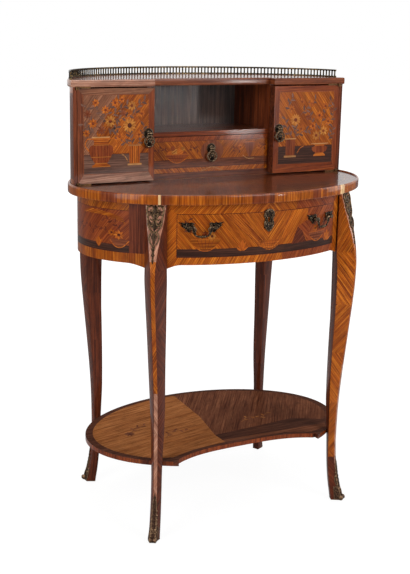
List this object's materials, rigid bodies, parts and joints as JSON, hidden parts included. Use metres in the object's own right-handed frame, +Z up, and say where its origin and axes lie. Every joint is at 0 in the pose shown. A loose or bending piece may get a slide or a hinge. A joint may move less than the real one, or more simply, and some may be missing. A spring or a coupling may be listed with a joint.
{
  "type": "tiered writing desk",
  "caption": "Oval writing table on cabriole legs with a bowed drawer, a low shelf, and a small cabinet with cupboards, niche, drawer and gallery on top.",
  "frame": {"origin": "on the floor, under the middle of the oval top", "axes": "+Z up, +Y to the back, so that the drawer faces -Y, and +X to the right as seen from the front"},
  "size_m": [0.682, 0.474, 0.972],
  "materials": {
    "veneer_top": "french polish",
    "veneer_edge": "french polish",
    "veneer_apron": "french polish",
    "veneer_leg": "french polish",
    "marquetry_drawer": "french polish",
    "marquetry_door": "french polish",
    "veneer_cabinet": "french polish",
    "inner_wood": "plain, waxed",
    "bronze": "dark cast bronze, rubbed on its high points",
    "gilt_brass": "polished brass",
    "fittings_brass": "plain brass",
    "screw_steel": "plain steel"
  },
  "bodies": {
    "desk": {"table_top": "veneer_top", "table_edge_band": "veneer_edge", "apron_left": "veneer_apron", "apron_right": "veneer_apron", "apron_back": "veneer_apron", "leg_front_left": "veneer_leg", "leg_front_right": "veneer_leg", "leg_back_left": "veneer_leg", "leg_back_right": "veneer_leg", "cabinet_side_left": "veneer_cabinet", "cabinet_side_right": "veneer_cabinet", "cabinet_back": "veneer_cabinet", "partitions": "veneer_cabinet", "niche_shelf": "veneer_cabinet", "niche_back": "veneer_cabinet", "cabinet_top": "veneer_cabinet", "cabinet_floor": "veneer_cabinet", "undertier_shelf": "veneer_cabinet", "bearer_rail": "inner_wood", "top_rail": "inner_wood", "drawer_runners": "inner_wood", "drawer_kickers": "inner_wood", "corner_blocks": "inner_wood", "shelf_dowels": "inner_wood", "chutes": "bronze", "sabots": "bronze", "gallery_base": "gilt_brass", "gallery_spindles": "gilt_brass", "gallery_rail": "gilt_brass", "hinge_plates": "fittings_brass", "catch_plates": "fittings_brass", "top_screws": "screw_steel", "cabinet_screws": "screw_steel"},
    "main_drawer": {"main_drawer_front": "marquetry_drawer", "main_drawer_sides": "inner_wood", "main_drawer_back": "inner_wood", "main_drawer_bottom": "inner_wood", "escutcheon": "bronze", "drawer_lock": "fittings_brass", "bail_plates": "bronze"},
    "lock_bolt": {"lock_bolt": "fittings_brass"},
    "bail_left": {"bail_left": "bronze"},
    "bail_right": {"bail_right": "bronze"},
    "small_drawer": {"small_drawer_front": "marquetry_drawer", "small_drawer_sides": "inner_wood", "small_drawer_back": "inner_wood", "small_drawer_bottom": "inner_wood", "small_drawer_rosette": "bronze"},
    "small_drop": {"small_drawer_drop": "bronze"},
    "door_left": {"door_left": "marquetry_door", "door_left_hinge_leaves": "fittings_brass", "door_left_catch": "fittings_brass", "door_left_rosette": "bronze"},
    "door_left_drop": {"door_left_drop": "bronze"},
    "door_right": {"door_right": "marquetry_door", "door_right_hinge_leaves": "fittings_brass", "door_right_catch": "fittings_brass", "door_right_rosette": "bronze"},
    "door_right_drop": {"door_right_drop": "bronze"}
  },
  "joints": [
    {"name": "main_drawer_slide", "type": "slide", "parent": "desk", "child": "main_drawer", "axis": [0, -1, 0], "range_m": [0, 0.24]},
    {"name": "lock_bolt_slide", "type": "slide", "parent": "main_drawer", "child": "lock_bolt", "axis": [0, 0, 1], "range_m": [0, 0.006]},
    {"name": "bail_left_hinge", "type": "hinge", "parent": "main_drawer", "child": "bail_left", "pos_m": [-0.14627, -0.20162, 0.675], "axis": [-0.9472, 0.3206, 0], "range_deg": [0, 78]},
    {"name": "bail_right_hinge", "type": "hinge", "parent": "main_drawer", "child": "bail_right", "pos_m": [0.14627, -0.20162, 0.675], "axis": [-0.9472, -0.3206, 0], "range_deg": [0, 78]},
    {"name": "small_drawer_slide", "type": "slide", "parent": "desk", "child": "small_drawer", "axis": [0, -1, 0], "range_m": [0, 0.11]},
    {"name": "small_drop_hinge", "type": "hinge", "parent": "small_drawer", "child": "small_drop", "pos_m": [0, 0.0276, 0.8023], "axis": [-1, 0, 0], "range_deg": [0, 85]},
    {"name": "door_left_hinge", "type": "hinge", "parent": "desk", "child": "door_left", "pos_m": [-0.3254, 0.0126, 0.84], "axis": [0, 0, -1], "range_deg": [0, 100]},
    {"name": "door_left_drop_hinge", "type": "hinge", "parent": "door_left", "child": "door_left_drop", "pos_m": [-0.164, 0.0076, 0.84205], "axis": [-1, 0, 0], "range_deg": [0, 85]},
    {"name": "door_right_hinge", "type": "hinge", "parent": "desk", "child": "door_right", "pos_m": [0.3254, 0.0126, 0.84], "axis": [0, 0, 1], "range_deg": [0, 100]},
    {"name": "door_right_drop_hinge", "type": "hinge", "parent": "door_right", "child": "door_right_drop", "pos_m": [0.164, 0.0076, 0.84205], "axis": [-1, 0, 0], "range_deg": [0, 85]}
  ]
}
